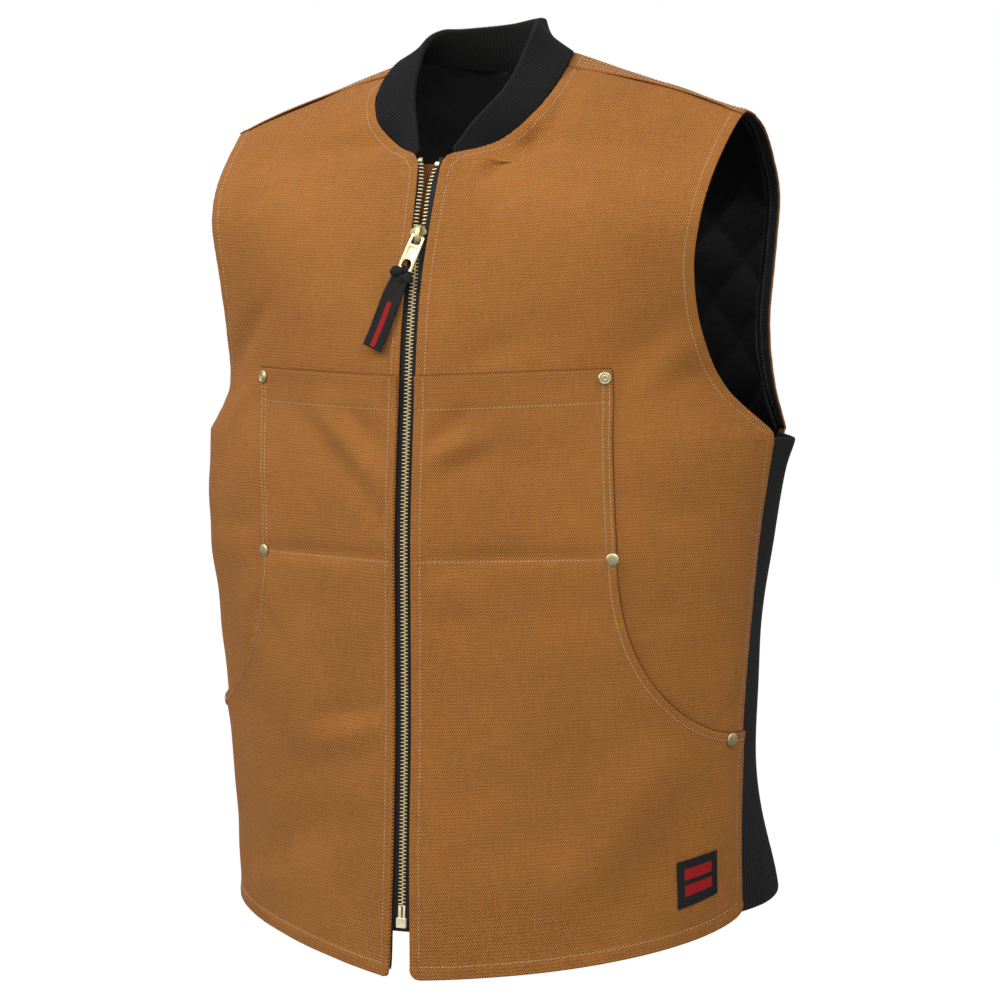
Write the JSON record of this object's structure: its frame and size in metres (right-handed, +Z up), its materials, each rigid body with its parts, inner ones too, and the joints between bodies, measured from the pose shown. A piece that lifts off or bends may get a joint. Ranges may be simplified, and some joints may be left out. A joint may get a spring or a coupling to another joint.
{
  "type": "zip-front work vest",
  "caption": "Sleeveless canvas work vest with a zipped front, riveted double pocket layers, ribbed knit collar and sides and a quilted lining, standing as if worn.",
  "frame": {"origin": "midway between the two points where the shoulder seams meet the collar", "axes": "+Z up, the front faces -Y and the wearer's left is +X"},
  "size_m": [0.518, 0.2715, 0.7657],
  "materials": {
    "canvas": "brown cotton canvas",
    "knit": "black rib knit",
    "quilting": "black diamond-quilted lining",
    "webbing": "black woven tape",
    "zip_brass": "polished brass",
    "aged_brass": "aged brass"
  },
  "bodies": {
    "vest": {"front_left": "canvas", "front_right": "canvas", "pocket_left": "canvas", "pocket_right": "canvas", "back": "canvas", "storm_flap": "canvas", "side_rib_left": "knit", "side_rib_right": "knit", "collar_rib": "knit", "lining_front_left": "quilting", "lining_front_right": "quilting", "lining_back": "quilting", "zip_tape_left": "webbing", "zip_tape_right": "webbing", "hem_label": "webbing", "zip_teeth_left": "zip_brass", "zip_teeth_right": "zip_brass", "zip_stop_left": "zip_brass", "zip_stop_right": "zip_brass", "zip_box": "zip_brass", "zip_slider": "zip_brass", "rivet_chest_left": "aged_brass", "rivet_middle_left": "aged_brass", "rivet_side_left": "aged_brass", "rivet_chest_right": "aged_brass", "rivet_middle_right": "aged_brass", "rivet_side_right": "aged_brass"},
    "pull_tab": {"pull_tab": "zip_brass", "ribbon_tag": "webbing"}
  },
  "joints": [
    {"name": "pull_tab_swing", "type": "hinge", "parent": "vest", "child": "pull_tab", "pos_m": [0, -0.11442, -0.13768], "axis": [-0.9455, 0.074, 0.317], "range_deg": [0, 165]}
  ]
}
